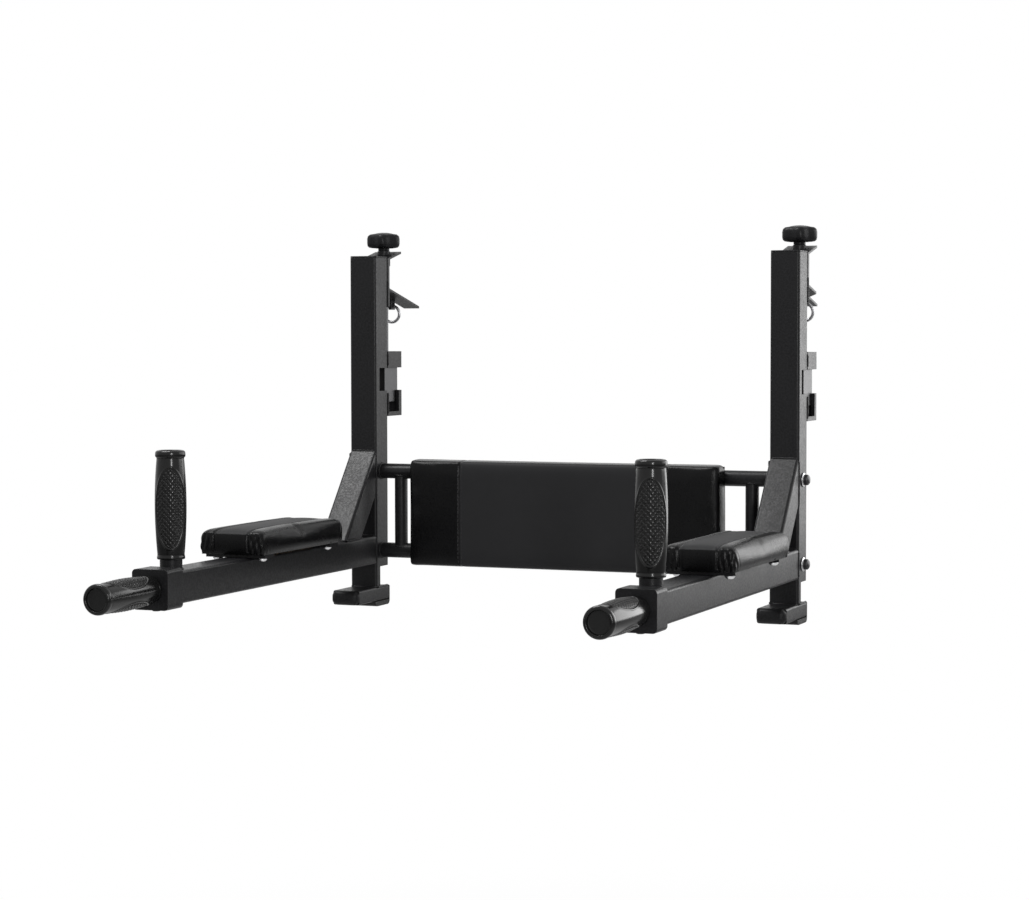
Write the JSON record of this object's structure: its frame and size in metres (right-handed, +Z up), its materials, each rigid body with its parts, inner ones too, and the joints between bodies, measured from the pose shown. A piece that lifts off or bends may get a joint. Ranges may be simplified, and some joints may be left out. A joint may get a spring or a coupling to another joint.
{
  "type": "dip station",
  "caption": "Wall-bar dip station: square-tube uprights with notches that hang on the rungs, braced arms with upright and forward grips, padded armrests and a padded backrest.",
  "frame": {"origin": "on the axis of the upper rung that the uprights' upper seats hang on, midway between the two uprights", "axes": "+X to the right of someone who faces the wall, +Y towards the wall, +Z up"},
  "size_m": [0.708, 0.8526, 0.5242],
  "materials": {
    "frame_paint": "fine-textured black powder coat",
    "black_plastic": "moulded, satin",
    "black_rubber": "matt",
    "grip_rubber": "matt, moulded relief",
    "pad_leather": "grained artificial leather",
    "plywood": "raw plywood",
    "bright_steel": "bright plated",
    "dark_bolt_steel": "blackened head, bright washer face",
    "latch_steel": "blackened"
  },
  "bodies": {
    "frame": {"upright_left": "frame_paint", "upright_cap_left": "black_plastic", "foot_left": "frame_paint", "foot_cap_left": "black_plastic", "foot_shoe_left": "black_rubber", "brace_left": "frame_paint", "arm_left": "frame_paint", "arm_end_block_left": "frame_paint", "forward_handle_tube_left": "frame_paint", "forward_grip_left": "grip_rubber", "upright_handle_tube_left": "frame_paint", "upright_grip_left": "grip_rubber", "armrest_board_left": "plywood", "armrest_pad_left": "pad_leather", "claw_bracket_left": "frame_paint", "guide_upper_left": "frame_paint", "guide_lower_left": "frame_paint", "armrest_bolt_1_left": "bright_steel", "armrest_bolt_2_left": "bright_steel", "armrest_bolt_3_left": "bright_steel", "armrest_bolt_4_left": "bright_steel", "frame_bolt_upper_left": "dark_bolt_steel", "frame_bolt_lower_left": "dark_bolt_steel", "upright_right": "frame_paint", "upright_cap_right": "black_plastic", "foot_right": "frame_paint", "foot_cap_right": "black_plastic", "foot_shoe_right": "black_rubber", "brace_right": "frame_paint", "arm_right": "frame_paint", "arm_end_block_right": "frame_paint", "forward_handle_tube_right": "frame_paint", "forward_grip_right": "grip_rubber", "upright_handle_tube_right": "frame_paint", "upright_grip_right": "grip_rubber", "armrest_board_right": "plywood", "armrest_pad_right": "pad_leather", "claw_bracket_right": "frame_paint", "guide_upper_right": "frame_paint", "guide_lower_right": "frame_paint", "armrest_bolt_1_right": "bright_steel", "armrest_bolt_2_right": "bright_steel", "armrest_bolt_3_right": "bright_steel", "armrest_bolt_4_right": "bright_steel", "frame_bolt_upper_right": "dark_bolt_steel", "frame_bolt_lower_right": "dark_bolt_steel", "cross_tube_upper": "frame_paint", "cross_tube_lower": "frame_paint", "back_post_left": "frame_paint", "back_post_right": "frame_paint", "backrest_board": "plywood", "backrest_pad": "pad_leather"},
    "left_latch": {"latch_left": "latch_steel", "latch_rod_left": "latch_steel"},
    "left_knob": {"knob_left": "black_plastic"},
    "left_ring": {"pull_ring_left": "bright_steel"},
    "right_latch": {"latch_right": "latch_steel", "latch_rod_right": "latch_steel"},
    "right_knob": {"knob_right": "black_plastic"},
    "right_ring": {"pull_ring_right": "bright_steel"}
  },
  "joints": [
    {"name": "left_latch_lift", "type": "slide", "parent": "frame", "child": "left_latch", "axis": [0, 0, 1], "range_m": [0, 0.048]},
    {"name": "left_knob_turn", "type": "hinge", "parent": "left_latch", "child": "left_knob", "pos_m": [-0.304, 0.0443, 0.19], "axis": [0, 0, 1], "continuous": true},
    {"name": "left_ring_swing", "type": "hinge", "parent": "frame", "child": "left_ring", "pos_m": [-0.304, 0.0703, 0.1018], "axis": [1, 0, 0], "range_deg": [-40, 60]},
    {"name": "right_latch_lift", "type": "slide", "parent": "frame", "child": "right_latch", "axis": [0, 0, 1], "range_m": [0, 0.048]},
    {"name": "right_knob_turn", "type": "hinge", "parent": "right_latch", "child": "right_knob", "pos_m": [0.304, 0.0443, 0.19], "axis": [0, 0, 1], "continuous": true},
    {"name": "right_ring_swing", "type": "hinge", "parent": "frame", "child": "right_ring", "pos_m": [0.304, 0.0703, 0.1018], "axis": [1, 0, 0], "range_deg": [-40, 60]}
  ]
}
